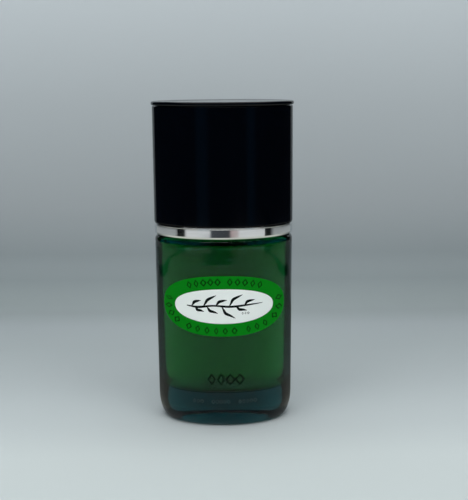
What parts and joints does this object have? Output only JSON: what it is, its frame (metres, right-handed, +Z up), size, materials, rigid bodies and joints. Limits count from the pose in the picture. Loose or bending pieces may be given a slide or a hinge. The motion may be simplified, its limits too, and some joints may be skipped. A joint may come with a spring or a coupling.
{
  "type": "aftershave bottle",
  "caption": "Flat oval glass aftershave bottle with a metal collar band, a ribbed screw closure and a tall black oval overcap that lifts off.",
  "frame": {"origin": "on the surface the bottle stands on, under the neck axis", "axes": "+Z up along the neck axis, +X along the wide side, -Y towards the labelled front"},
  "size_m": [0.0658, 0.0398, 0.1528],
  "materials": {
    "green_glass": "clear dark green moulded glass",
    "aftershave": "clear green liquid",
    "white_polymer": "natural moulded polymer",
    "black_plastic": "polished black",
    "closure_plastic": "moulded black",
    "liner_foam": "white sealing wad",
    "insert_plastic": "natural moulded polymer",
    "polished_metal": "bright plated",
    "green_enamel": "fired green enamel",
    "white_enamel": "fired white enamel"
  },
  "bodies": {
    "bottle": {"glass_bottle": "green_glass", "aftershave_liquid": "aftershave", "pour_plug": "white_polymer", "collar_carrier": "black_plastic", "chrome_band": "polished_metal", "label_ring": "green_enamel", "label_centre": "white_enamel"},
    "liner": {"cap_liner": "liner_foam"},
    "closure": {"screw_cap": "closure_plastic"},
    "overcap": {"overcap_shell": "black_plastic", "overcap_top": "black_plastic", "overcap_insert": "insert_plastic"}
  },
  "joints": [
    {"name": "closure_rise", "type": "slide", "parent": "bottle", "child": "liner", "axis": [0, 0, 1], "range_m": [0, 0.00478]},
    {"name": "closure_turn", "type": "hinge", "parent": "liner", "child": "closure", "pos_m": [0, 0, 0.1058], "axis": [0, 0, 1], "range_deg": [0, 540]},
    {"name": "overcap_lift", "type": "slide", "parent": "bottle", "child": "overcap", "axis": [0, 0, 1], "range_m": [0, 0.07]}
  ],
  "couplings": [
    {"joint": "closure_rise", "follows": "closure_turn", "m_per_rad": 0.00050611}
  ]
}
